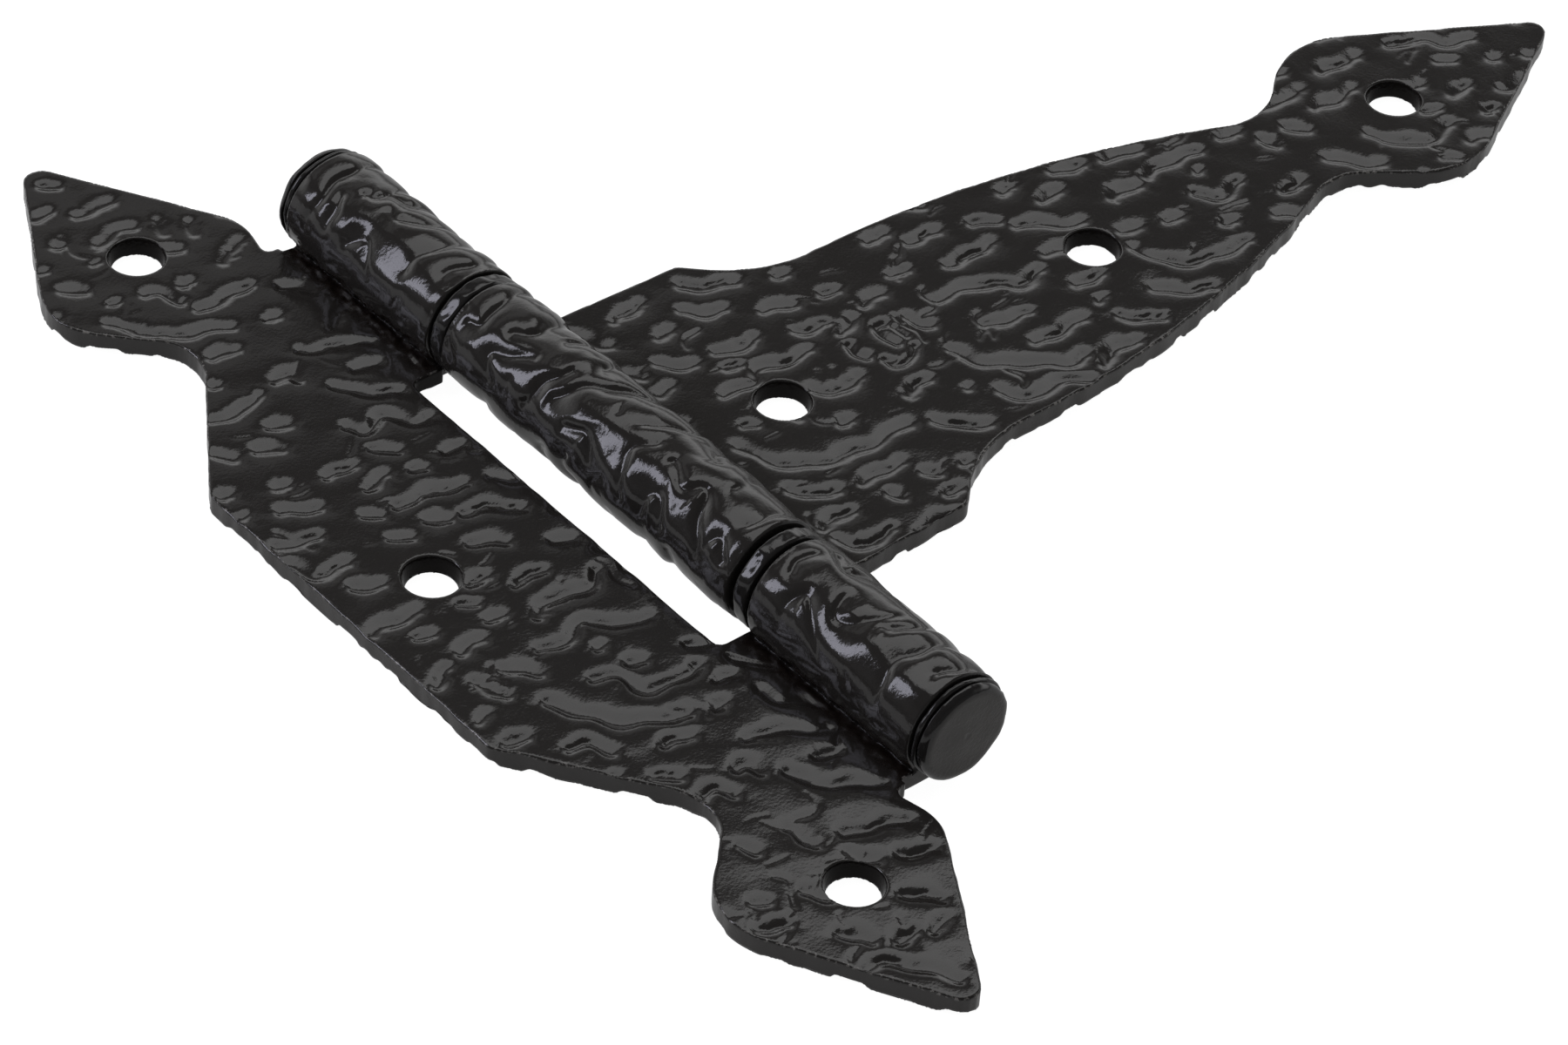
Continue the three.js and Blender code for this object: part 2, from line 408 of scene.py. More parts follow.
def leaf_distance(plan, holes, knuckles):
    """Signed distance to a leaf: its flat sheet, with the knuckles that are rolled from it."""

    def distance(x, y, z):
        edge = plan(x, y)
        hole = HOLE_BOTTOM + (HOLE_TOP - HOLE_BOTTOM) * np.clip(z / SHEET, 0, 1)
        for hx, hy in holes:
            edge = np.maximum(edge, hole - np.hypot(x - hx, y - hy))
        edge_radius = np.where(z > SHEET / 2, TOP_EDGE_RADIUS, BOTTOM_EDGE_RADIUS)
        sheet = rounded_slab(edge, np.abs(z - SHEET / 2) - SHEET / 2, edge_radius)
        radius = np.hypot(x, z - AXIS_Z)
        wall = np.abs(radius - (BARREL + BORE) / 2) - SHEET / 2
        blend = 0.05 + 0.2 * smooth_step(0.8, 2.0, z)
        for low, high in knuckles:
            ends = np.abs(y - (low + high) / 2) - (high - low) / 2
            ring = rounded_slab(wall, ends, KNUCKLE_EDGE_RADIUS)
            near = np.clip(0.5 + 0.5 * (ring - sheet) / blend, 0, 1)
            sheet = ring * (1 - near) + sheet * near - blend * near * (1 - near)
        return sheet

    return distance


def surface(distance, low, high, cell):
    """Vertices and quads of the surface where distance is zero (surface nets)."""
    low = np.array(low, float)
    axes = [np.arange(a, b + cell, cell) for a, b in zip(low, high)]
    x, y = np.meshgrid(axes[0], axes[1], indexing="ij")
    field = np.stack([distance(x, y, np.full(x.shape, z)) for z in axes[2]], -1)
    field = field.astype(np.float32)
    inside = field < 0
    corners = [np.array([i, j, k]) for i in (0, 1) for j in (0, 1) for k in (0, 1)]
    size = np.array(inside.shape) - 1

    def shifted(array, offset):
        return array[tuple(slice(o, o + n) for o, n in zip(offset, size))]

    total = sum(shifted(inside, c).astype(np.int8) for c in corners)
    active = (total > 0) & (total < 8)
    index = np.full(active.shape, -1, np.int64)
    cells = np.argwhere(active)
    index[active] = np.arange(len(cells))
    sums = np.zeros((len(cells), 3))
    count = np.zeros(len(cells))
    for corner in corners:
        for axis in range(3):
            if corner[axis]:
                continue
            step = np.eye(3, dtype=int)[axis]
            a = field[tuple((cells + corner).T)]
            b = field[tuple((cells + corner + step).T)]
            crosses = (a < 0) != (b < 0)
            t = np.where(crosses, a / np.where(crosses, a - b, 1), 0)
            sums += crosses[:, None] * (corner + t[:, None] * step)
            count += crosses
    points = low + cell * (cells + sums / count[:, None])
    quads = []
    for axis in range(3):
        step = np.eye(3, dtype=int)[axis]
        other = [np.eye(3, dtype=int)[(axis + k) % 3] for k in (1, 2)]
        here = inside[tuple(slice(0, n - s) for n, s in zip(inside.shape, step))]
        there = inside[tuple(slice(s, None) for s in step)]
        nodes = np.argwhere(here != there)
        ring = [nodes - other[0] - other[1], nodes - other[1], nodes, nodes - other[0]]
        faces = np.stack([index[tuple(r.T)] for r in ring], 1)
        outward = here[tuple(nodes.T)]
        faces[~outward] = faces[~outward][:, ::-1]
        quads.append(faces)
    return points, np.concatenate(quads)


def slope(distance, points, reach=0.04):
    """Unit vectors that point straight away from the surface, one for each point."""
    rates = []
    for axis in range(3):
        step = np.zeros(3)
        step[axis] = reach
        ahead = distance(*(points + step).T)
        behind = distance(*(points - step).T)
        rates.append((ahead - behind) / (2 * reach))
    gradient = np.stack(rates, 1)
    return gradient / np.linalg.norm(gradient, axis=1)[:, None]


# ---------------------------------------------------------------- hammer marks
def curve(points, trim=0.0, step=0.25):
    """A smooth path through the points, cut short at both ends."""
    points = np.array(points, float)
    ends = np.vstack([2 * points[0] - points[1], points, 2 * points[-1] - points[-2]])
    path = []
    for a, b, c, d in zip(ends, ends[1:], ends[2:], ends[3:]):
        t = np.linspace(0, 1, max(4, int(np.hypot(*(c - b)) / step)), endpoint=False)[:, None]
        path.append(
            b + 0.5 * t * (c - a + t * (2 * a - 5 * b + 4 * c - d + t * (3 * (b - c) + d - a)))
        )
    path = np.vstack(path + [points[-1:]])
    along = np.r_[0, np.hypot(*np.diff(path, axis=0).T).cumsum()]
    trim = min(trim, 0.5 * along[-1] - 0.3)
    count = max(3, int((along[-1] - 2 * trim) / step))
    at = np.linspace(trim, along[-1] - trim, count)
    return np.stack([np.interp(at, along, path[:, i]) for i in (0, 1)], 1)


def sideways(path):
    """Unit vectors across the path."""
    ahead = np.gradient(path, axis=0)
    ahead /= np.linalg.norm(ahead, axis=1)[:, None]
    return np.stack([-ahead[:, 1], ahead[:, 0]], 1)


class Marks:
    """Marks pressed into one face: hammer marks like worms and beans, creases and nicks."""

    REACH = 4.6

    def __init__(self, seed, low, high, cell=0.12):
        self.random = np.random.default_rng(seed)
        self.low = np.array(low, float)
        self.high = np.array(high, float)
        self.taken = Grid(low, high, 0.3)  # 1 where no random mark may run
        self.deep = Grid(low, high, cell)  # sum of the large marks' depths to the 4th power
        self.fine = Grid(low, high, cell)  # sum of the nicks' depths

    def settle(self):
        """Turns the sums of powers into depths, once all the large marks are in."""
        self.deep.values = self.deep.values**0.25
        return self

    def __call__(self, u, v):
        return -self.deep(u, v) - self.fine(u, v)

    def scatter(self, kinds):
        """Marks at random places, wherever there is still room for them."""
        random = self.random
        area = np.prod(self.high - self.low)
        for kind in kinds:
            for _ in range(int(kind["tries"] * area)):
                size = random.uniform(*kind["length"])
                steps = max(3, int(size / 0.25))
                t = np.linspace(0, 1, steps)
                bends = size / random.uniform(6, 13)
                sway = math.radians(random.uniform(*kind["sway"]))
                angle = math.radians(random.normal(kind["heading"], kind["spread"]))
                angle = angle + sway * np.sin(2 * math.pi * (bends * t + random.uniform(0, 1)))
                path = np.stack([np.cos(angle), np.sin(angle)], 1).cumsum(0) * size / steps
                path += random.uniform(self.low, self.high) - path.mean(0)
                if kind["gap"] and (self.taken(*path.T) > 0.3).any():
                    continue
                self.press(path, kind)

    def press(self, path, kind):
        """One mark along the path, uneven in line, width and depth, and perhaps a crack in it."""
        random = self.random
        half = random.uniform(*kind["width"])
        sunk = random.uniform(*kind["depth"])
        t = np.linspace(0, 1, len(path))
        size = np.hypot(*(path[-1] - path[0])) + 1
        phase = random.uniform(0, 2 * math.pi, 4)
        if size > 4:
            path = path + 0.22 * np.sin(size * t * 1.1 + phase[3])[:, None] * sideways(path)
        swell = 0.86 + 0.18 * np.sin(math.pi * t) + 0.1 * np.sin(size * t * 0.9 + phase[0])
        swell += 0.05 * np.sin(size * t * 2.1 + phase[1])
        sunk = sunk * (0.9 + 0.12 * np.sin(math.pi * t) + 0.12 * np.sin(size * t * 0.8 + phase[2]))
        lean = kind["lean"]
        if kind["either_way"] and random.random() < 0.5:
            lean = (-lean[0], -lean[1])
        if kind["gap"]:
            self.mark(self.taken, path, "block", kind["gap"], 1.0, lean)
        if kind["shape"] == "nick":
            self.mark(self.fine, path, "nick", half * swell, sunk, lean)
            return
        self.mark(self.deep, path, kind["shape"], half * swell, sunk, lean)
        if random.random() < kind["cracked"]:
            first, last = sorted(random.uniform(0, len(path), 2).astype(int))
            if last - first > 4:
                crack = path[first:last] + random.uniform(0.2, 0.8) * FAR
                wander = 0.12 * np.sin(3.1 * t[first:last] * size + phase[0])
                crack = crack + wander[:, None] * sideways(crack)
                self.mark(self.fine, crack, "nick", 0.25, random.uniform(0.07, 0.14), lean)

    def mark(self, grid, path, shape, half, sunk, lean):
        """Adds one mark to the grid, of the given half width and depth along the path."""
        first = np.maximum(((path.min(0) - self.REACH - grid.low) / grid.cell).astype(int), 0)
        last = ((path.max(0) + self.REACH - grid.low) / grid.cell).astype(int)
        last = np.minimum(last, grid.shape)
        if (last <= first).any():
            return
        u = grid.low[0] + grid.cell * np.arange(first[0], last[0])
        v = grid.low[1] + grid.cell * np.arange(first[1], last[1])
        square = (u[:, None, None] - path[:, 0]) ** 2 + (v[None, :, None] - path[:, 1]) ** 2
        nearest = square.argmin(2)
        square = np.take_along_axis(square, nearest[..., None], 2)[..., 0]
        away = np.sqrt(square)
        window = grid.values[first[0] : last[0], first[1] : last[1]]
        if shape == "block":
            np.maximum(window, square < half * half, out=window)
            return
        half = np.broadcast_to(half, len(path))[nearest]
        sunk = np.broadcast_to(sunk, len(path))[nearest]
        if shape == "nick":
            window += sunk * np.exp(-square / half**2)
            return
        offset = (u[:, None] - path[nearest, 0]) * lean[0] + (v - path[nearest, 1]) * lean[1]
        across = offset / np.maximum(away, 1e-6)
        width = half * (STEEP_SIDE + (1 - STEEP_SIDE) * smooth_step(-1.0, 1.0, across))
        if shape == "groove":
            toe = 0.27 * smooth_step(0.3, -0.5, across)
            fall = (1 - toe) * np.exp(-square / width**2)
            fall += toe * np.exp(-square / (2.6 * width) ** 2)
        else:
            fall = np.exp(0.22 - 1.1 * np.sqrt(0.04 + square / width**2))
        window += (sunk * fall) ** 4


def mark_kind(shape, width, depth, gap, **more):
    """One kind of mark: lengths, widths and gaps in millimetres, angles in degrees."""
    kind = dict(
        shape=shape,
        width=width,
        depth=depth,
        gap=gap,
        tries=0,
        length=(2, 4),
        heading=0,
        spread=20,
        sway=(10, 40),
        lean=FAR,
        either_way=False,
        cracked=0,
    )
    kind.update(more)
    return kind


PLACED = mark_kind("groove", (1.15, 1.4), (0.33, 0.41), 3.0, cracked=0.8)
CREASE = mark_kind("crease", (1.1, 1.7), (0.4, 0.6), 2.6, lean=(0.3, 0.95), either_way=True)
NICK = mark_kind("nick", (0.2, 0.28), (0.04, 0.09), 0, length=(1, 3.5), heading=-12)


def sheet_kinds(tries, depth):
    """Random marks of a flat face, longest first."""
    wide = (1.25, 1.45)
    thin = mark_kind("groove", (0.55, 0.75), (0.1, 0.17), 0, tries=0.004, length=(3, 7))
    thin.update(heading=62, spread=26, sway=(10, 50))
    return [
        mark_kind("groove", wide, depth, 3.7, tries=0.02 * tries, length=(8, 14), heading=-26),
        mark_kind("groove", wide, depth, 3.3, tries=0.06 * tries, length=(4, 7), heading=-12),
        mark_kind("groove", wide, depth, 3.2, tries=0.05 * tries, length=(2, 4), heading=-70),
        mark_kind("groove", (0.9, 1.15), depth, 3.0, tries=0.05, length=(0.8, 3), heading=-10),
        thin,
    ]


def knuckle_kinds():
    """Random marks of a knuckle, where the first axis runs round the barrel."""
    lean = (0.3, 0.95)
    return [
        mark_kind(
            "crease", (1.2, 1.8), (0.35, 0.55), 3.4, tries=0.06, length=(6, 16), lean=lean,
            either_way=True, heading=8, sway=(15, 45),
        ),
        mark_kind(
            "crease", (0.8, 1.3), (0.2, 0.35), 2.6, tries=0.12, length=(2, 6), lean=lean,
            either_way=True, heading=25, spread=35, sway=(25, 80),
        ),
        mark_kind("groove", (0.7, 1.1), (0.1, 0.22), 2.2, tries=0.15, length=(0.8, 2.5), spread=60),
    ]


def swirl(marks):
    """The cluster of deep hooked marks near the middle of the strap."""
    for half, sunk, line in [
        (0.95, 0.5, [(37.2, 3.4), (36.9, 1.9), (37.5, 0.6)]),
        (0.9, 0.42, [(42.2, 0.4), (41.7, 2.4), (42, 4), (43.3, 4.1)]),
        (0.6, 0.3, [(43.9, 2.9), (44, 0.8)]),
        (0.8, 0.36, [(39, -1.3), (39.2, -2.6), (40.6, -3), (42.4, -2.4), (43.6, -1.4)]),
        (0.55, 0.28, [(38.9, -0.9), (39.8, -1.8)]),
        (0.5, 0.2, [(45.3, 4.6), (45.1, 2.6), (45.7, 0.6), (45.2, -1.2)]),
    ]:
        path = curve(line)
        marks.mark(marks.taken, path, "block", 1.6, 1, FAR)
        marks.mark(marks.deep, path, "groove", half, sunk, FAR)


def gouge(marks):
    """The long narrow gouge beside the barrel, below the window."""
    for sunk, line in [
        (0.3, [(-9.8, -30.4), (-8.6, -32.4), (-7.2, -34.2), (-5.6, -36.2)]),
        (0.22, [(-9.9, -31.1), (-8.9, -33.2), (-7.6, -34.9), (-5.9, -36.4)]),
    ]:
        path = curve(line)
        marks.mark(marks.taken, path, "block", 1.8, 1, FAR)
        marks.mark(marks.fine, path, "nick", 0.3, sunk, FAR)


class Rumple:
    """Smooth random waves between -1 and 1, of about the given length."""

    def __init__(self, seed, length, count=14):
        random = np.random.default_rng(seed)
        turn = random.uniform(0, 2 * math.pi, count)
        pace = 2 * math.pi / (length * random.uniform(0.7, 1.5, count))
        self.waves = np.stack([pace * np.cos(turn), pace * np.sin(turn)], 1)
        self.phase = random.uniform(0, 2 * math.pi, count)

    def __call__(self, u, v):
        total = sum(np.sin(a * u + b * v + c) for (a, b), c in zip(self.waves, self.phase))
        return np.clip(total / (0.5 * len(self.phase)) ** 0.5 / 1.6, -1, 1)


# ---------------------------------------------------------------- meshes
def mesh_object(name, points, faces, material, body):
    mesh = bpy.data.meshes.new(name)
    mesh.from_pydata((points * MM).tolist(), [], [tuple(f) for f in faces])
    mesh.polygons.foreach_set("use_smooth", np.ones(len(mesh.polygons), bool))
    mesh.materials.append(material)
    mesh.update()
    piece = bpy.data.objects.new(name, mesh)
    bpy.context.scene.collection.objects.link(piece)
    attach(piece, body)
    return piece


def point_attribute(mesh, name, values):
    attribute = mesh.attributes.new(name, "FLOAT", "POINT")
    attribute.data.foreach_set("value", values.astype(np.float32))


def leaf_limits(outline, side):
    """Corners of the rectangle that holds a leaf with its knuckles."""
    low = outline.min(0) - 1.0
    high = outline.max(0) + 1.0
    if side < 0:
        high[0] = BARREL + 1
    else:
        low[0] = -BARREL - 1
    return low, high


def plain_leaf(distance, low, high):
    """Points, faces and outward directions of a leaf before it is hammered."""
    margin = 0.75
    bottom = [low[0], low[1], -margin]
    top = [high[0], high[1], 2 * BARREL + margin]
    points, faces = surface(distance, bottom, top, CELL)
    for _ in range(2):  # onto the exact surface
        points = points - distance(*points.T)[:, None] * slope(distance, points)
    return points, faces, slope(distance, points)


def face_marks(seed, low, high, placed, cluster):
    """Marks of the face that is up on the sheet, which is inside the roll."""
    marks = Marks(seed, low, high)
    cluster(marks)
    for line in placed:
        marks.press(curve(line, GROOVE_TRIM) - GROOVE_SHIFT * FAR, PLACED)
    marks.scatter(sheet_kinds(0.3, (0.26, 0.36)) + [dict(NICK, tries=0.012)])
    return marks.settle()


def back_marks(seed, low, high):
    """Marks of the sheet's back, all at random."""
    marks = Marks(seed, low, high)
    marks.scatter(sheet_kinds(1, (0.35, 0.5)))
    return marks.settle()


def knuckle_marks(seed, first, last, side):
    """Creases over the distance round the barrel and the distance along the pin."""
    marks = Marks(seed, [-4, first - 2], [BARREL * KNUCKLE_TURN, last + 2])
    for line in KNUCKLE_CREASES:
        line = np.array(line, float)
        if first < line[:, 0].mean() < last:
            turn = math.pi - side * np.radians(line[:, 1])
            marks.press(curve(np.stack([BARREL * turn, line[:, 0]], 1)), CREASE)
    marks.scatter(knuckle_kinds())
    return marks.settle()


def hammer_sheet(points, normal, rim, on_barrel, seed, side, low, high, placed):
    """Moves the flat sheet's points: its face, its back, its lower edge and its side walls."""
    x, y, z = points.T
    if side > 0:
        low = [-BARREL, low[1]]
        top = face_marks(seed, low, high, placed, swirl)
    else:
        high = [BARREL, high[1]]
        top = face_marks(seed, low, high, placed, gouge)
    back = back_marks(seed + 1, low, high)
    from_seam = side * x - BARREL  # how far the sheet is out from the barrel's side
    up = smooth_step(0.35, 0.8, normal[:, 2]) * ~on_barrel * (side * x > 0)
    up = up * smooth_step(-0.9, 0.6, from_seam)
    down = smooth_step(0.35, 0.8, -normal[:, 2]) * (z < 0.6) * smooth_step(-1.5, 1.0, side * x)
    wall = (1 - smooth_step(0.3, 0.7, np.abs(normal[:, 2]))) * (z < SHEET + 0.2) * ~on_barrel
    wall = wall * smooth_step(1, 3, from_seam) * (rim < 1)
    under = 0.9 * Rumple(seed + 2, 6.5)(x, y) + 0.22 * Rumple(seed + 3, 2.4)(x, y)
    scallop = 0.62 * smooth_step(-0.1, 0.65, under) - 0.35
    scallop = scallop * smooth_step(2.2, 0.3, rim) * smooth_step(5.5, 8.5, side * x) * ~on_barrel
    points[:, 2] += up * (top(x, y) + 0.03 * Rumple(seed + 12, 8)(x, y) - 0.02)
    points[:, 2] -= down * back(x, y)
    points[:, 2] += scallop * np.clip(1 - z / 1.7, 0, 1)
    sway = 0.1 * Rumple(seed + 4, 6)(x, y) + 0.03 * Rumple(seed + 5, 2.5)(x, y)
    points[:, :2] += (wall * sway)[:, None] * normal[:, :2]


def crease_rolls(points, normal, radius, on_barrel, seed, side, knuckles):
    """Moves the points of the knuckles' outer faces, which are the rolled back of the sheet."""
    x, y, z = points.T
    rolled = np.arctan2(-side * x, AXIS_Z - z) % (2 * math.pi)  # from straight under the pin
    around = on_barrel * smooth_step(0.3, 0.8, 1 - np.abs(normal[:, 1]))
    around = around * smooth_step(0.15, 0.5, rolled)
    around = around * (1 - 0.6 * smooth_step(3.8, 4.6, rolled))  # calmer towards the free end
    swell = Rumple(seed + 8, 9)(BARREL * rolled * 1.2, y)
    relief = np.zeros(len(points))
    for number, (first, last) in enumerate(knuckles):
        marks = knuckle_marks(seed + 6 + number, first, last, side)
        near_end = np.minimum(y - first, last - y)
        height = marks(BARREL * rolled, y) + 0.12 + 0.16 * swell
        height = height - 0.1 * smooth_step(1.6, 0.2, near_end)
        relief = np.where((y > first - 1) & (y < last + 1), height, relief)
    outward = np.stack([x, 0 * x, z - AXIS_Z], 1) / np.maximum(radius, 1e-6)[:, None]
    points += (around * np.minimum(relief, 0.2))[:, None] * outward


def fill_seam(points, normal, seed, side, knuckles):
    """Lumps of paint where the roll's free end closes on the sheet, and how thick they are."""
    x, y, z = points.T
    seam = smooth_step(3.2, 0.4, np.hypot(side * x - SEAM_X, z - SEAM_Z)) * (side * x > 3)
    beside = np.zeros(len(points))
    for first, last in knuckles:
        reach = smooth_step(-1.5, 0.3, y - first) * smooth_step(-1.5, 0.3, last - y)
        beside = np.maximum(beside, reach)
    seam = seam * beside
    lumps = 0.16 * Rumple(seed + 9, 2.4)(x + z, y) + 0.09 * Rumple(seed + 10, 0.9)(x + z, y)
    points += (seam * lumps * np.where(y > 0, 1, 0.55))[:, None] * normal
    return seam


def painted_shade_faces(middle, holes, side):
    """Which faces get painted shade, a darker and less glossy black: the hole walls, the seam's
    corner and the window's end walls.
    """
    x, y, z = middle.T
    painted_shade = np.zeros(len(middle), bool)
    for hx, hy in holes:
        painted_shade |= (np.hypot(x - hx, y - hy) < HOLE_TOP - 0.02) & (z < SHEET - 0.12)
    meeting = math.sqrt(BARREL**2 - (BARREL - SHEET) ** 2)  # where the roll meets the sheet's face
    painted_shade |= np.hypot(side * x - meeting, z - SHEET) < 0.55
    if side < 0:
        in_window = (np.abs(np.abs(y) - WINDOW_END) < 0.4) & (np.abs(-x - BARREL) < 2.9)
        painted_shade |= in_window & (z < SHEET - 0.12) & (z > 0.1)
    return painted_shade


def build_leaf(name, body, material, half, shift_y, side, holes, knuckles, placed, seed):
    """A leaf whose sheet lies on the given side of the pin, -1 or +1."""
    outline = rounded(mirrored(half), shift_y)
    plan = plan_distance(outline)
    low, high = leaf_limits(outline, side)
    points, faces, normal = plain_leaf(leaf_distance(plan, holes, knuckles), low, high)
    x, y, z = points.T  # these follow the points as they move
    radius = np.hypot(x, z - AXIS_Z)
    rim = -plan(x, y)  # how far inside the outline
    on_barrel = (radius > BARREL - 0.3) & ((side * x < 0) | (z > SHEET + 0.4))
    hammer_sheet(points, normal, rim, on_barrel, seed, side, low, high, placed)
    crease_rolls(points, normal, radius, on_barrel, seed, side, knuckles)
    seam = fill_seam(points, normal, seed, side, knuckles)
    piece = mesh_object(name, points, faces, material, body)
    point_attribute(piece.data, "seam", seam)
    facing = -(normal[:, 0] + normal[:, 1])  # corners that turn towards -X -Y, the camera's side, carry wear and a painted highlight
    wear_and_glint = np.exp(-(((z - SHEET) / 0.2) ** 2) - ((rim - 0.05) / 0.16) ** 2) * (facing > 0.1)
    point_attribute(piece.data, "wear_and_glint", wear_and_glint * ~on_barrel)
    # The hole walls, the seam's corner and the window's end walls take the painted shade.
    piece.data.materials.append(painted_shade_black)
    painted_shade = painted_shade_faces(points[faces].mean(1), holes, side)
    piece.data.polygons.foreach_set("material_index", painted_shade.astype(np.int32))
    return piece


def turned(name, node, corners, ring, wobble, seed, material):
    """A shape turned about the pin's axis from corners (radius, distance along it, rounding)."""
    profile = rounded(corners)
    if ring:
        profile = np.vstack([profile, profile[:1]])
    rows = [profile[:1]]
    for a, b in zip(profile, profile[1:]):
        steps = max(1, int(np.hypot(*(b - a)) / 0.35))
        rows.append(a + (b - a) * np.linspace(0, 1, steps + 1)[1:, None])
    rows = np.vstack(rows)
    rows = rows[:-1] if ring else rows[1:-1]
    sides = 144
    turn = np.linspace(0, 2 * math.pi, sides, endpoint=False)
    r, t = np.meshgrid(rows[:, 0], turn, indexing="ij")
    along = np.repeat(rows[:, 1:2], sides, 1)
    uneven = Rumple(seed, 5)(r * np.cos(t), r * np.sin(t) + along)
    fine = Rumple(seed + 1, 1.4)(r * np.cos(t) + along, r * np.sin(t))
    r = r * (1 + wobble / BARREL * (uneven + 0.3 * fine))
    dome = 1.2 * wobble * np.clip(1 - r / 6, 0, 1) ** 2
    along = along + (0.3 * wobble * uneven + (0 if ring else dome)) * np.sign(along)
    points = np.stack([r * np.sin(t), along, AXIS_Z + r * np.cos(t)], -1).reshape(-1, 3)
    faces = []
    for row in range(len(rows) if ring else len(rows) - 1):
        here = row * sides
        after = (row + 1) % len(rows) * sides
        for i in range(sides):
            j = (i + 1) % sides
            faces.append((here + i, after + i, after + j, here + j))
    if not ring:
        centre = len(points)
        ends = [(0, profile[0, 1], AXIS_Z), (0, profile[-1, 1], AXIS_Z)]
        points = np.vstack([points, ends])
        last = (len(rows) - 1) * sides
        for i in range(sides):
            j = (i + 1) % sides
            faces.append((centre, i, j))
            faces.append((centre + 1, last + j, last + i))
    piece = mesh_object(name, points, faces, material, "jamb")
    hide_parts(node)
    return piece


def turned_pin(material):
    """The pin with a head at each end, whose end faces are duller."""
    low, high = (np.array(end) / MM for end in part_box("hinge_pin"))
    corners = [
        (0, low[1], 0),
        (HEAD_RADIUS, low[1], HEAD_RIM_RADIUS),
        (HEAD_RADIUS, low[1] + HEAD_THICK, HEAD_BACK_RADIUS),
        (PIN, low[1] + HEAD_THICK, 0),
        (PIN, high[1] - HEAD_THICK, 0),
        (HEAD_RADIUS, high[1] - HEAD_THICK, HEAD_BACK_RADIUS),
        (HEAD_RADIUS, high[1], HEAD_RIM_RADIUS),
        (0, high[1], 0),
    ]
    pin = turned(
        "pin_with_heads", "hinge_pin", corners, ring=False, wobble=0.1, seed=71, material=material
    )
    pin.data.materials.append(pin_face)
    flat = [
        abs(face.normal.y) > 0.93 and abs(face.center.y) > HEAD_FACES_FROM * MM
        for face in pin.data.polygons
    ]
    pin.data.polygons.foreach_set("material_index", np.array(flat, np.int32))


def turned_washers(material):
    """The two washers beside the centre knuckle, and the thin ones under the pin's heads."""
    nodes = ("upper_washer", "lower_washer", "upper_end_washer", "lower_end_washer")
    for number, node in enumerate(nodes):
        low, high = (np.array(end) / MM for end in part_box(node))
        outer = (high[0] - low[0]) / 2 + 0.06
        edge = 0.3 if "end" in node else 0.45
        corners = [
            (PIN + WASHER_FIT, low[1], 0),
            (PIN + WASHER_FIT, high[1], 0),
            (outer, high[1], edge),
            (outer, low[1], edge),
        ]
        name = node + "_painted"
        turned(name, node, corners, ring=True, wobble=0.13, seed=81 + 2 * number, material=material)


# ---------------------------------------------------------------- materials
GLOSS = 0.1  # roughness of the clean enamel


def add(tree, kind, **inputs):
    """A node with the given inputs set, where an underscore stands for a space in a name."""
    node = tree.nodes.new(kind)
    for key, value in inputs.items():
        node.inputs[key.replace("_", " ")].default_value = value
    return node


def add_seam_paint_and_glint(tree, place, shader, colour):
    """Brown-black lumps of paint in the seam, and a speckled light line on the top corners that
    turn towards -X -Y, partly rubbed-through steel and partly a painted highlight.
    """
    link = tree.links.new
    grit = add(tree, "ShaderNodeTexNoise", Scale=1800.0, Detail=3.0)
    link(place.outputs["Object"], grit.inputs["Vector"])
    seam = tree.nodes.new("ShaderNodeAttribute")
    seam.attribute_name = "seam"
    corner = tree.nodes.new("ShaderNodeAttribute")
    corner.attribute_name = "wear_and_glint"
    brown = tree.nodes.new("ShaderNodeMix")
    brown.data_type = "RGBA"
    brown.inputs["A"].default_value = colour
    brown.inputs["B"].default_value = (0.012, 0.007, 0.005, 1)
    link(seam.outputs["Fac"], brown.inputs["Factor"])
    speck = add(tree, "ShaderNodeMapRange", From_Min=0.52, From_Max=0.62)
    link(grit.outputs["Fac"], speck.inputs["Value"])
    amount = tree.nodes.new("ShaderNodeMath")
    amount.operation = "MULTIPLY"
    link(speck.outputs["Result"], amount.inputs[0])
    link(corner.outputs["Fac"], amount.inputs[1])
    # Light grey specks on the top corners that turn towards -X -Y: partly rubbed-through steel,
    # partly a painted highlight.
    bare_and_glint = tree.nodes.new("ShaderNodeMix")
    bare_and_glint.data_type = "RGBA"
    bare_and_glint.inputs["B"].default_value = (0.42, 0.4, 0.38, 1)
    link(amount.outputs["Value"], bare_and_glint.inputs["Factor"])
    link(brown.outputs["Result"], bare_and_glint.inputs["A"])
    link(bare_and_glint.outputs["Result"], shader.inputs["Base Color"])
    rough = add(tree, "ShaderNodeMapRange", To_Min=GLOSS, To_Max=0.32)
    link(seam.outputs["Fac"], rough.inputs["Value"])
    link(rough.outputs["Result"], shader.inputs["Roughness"])


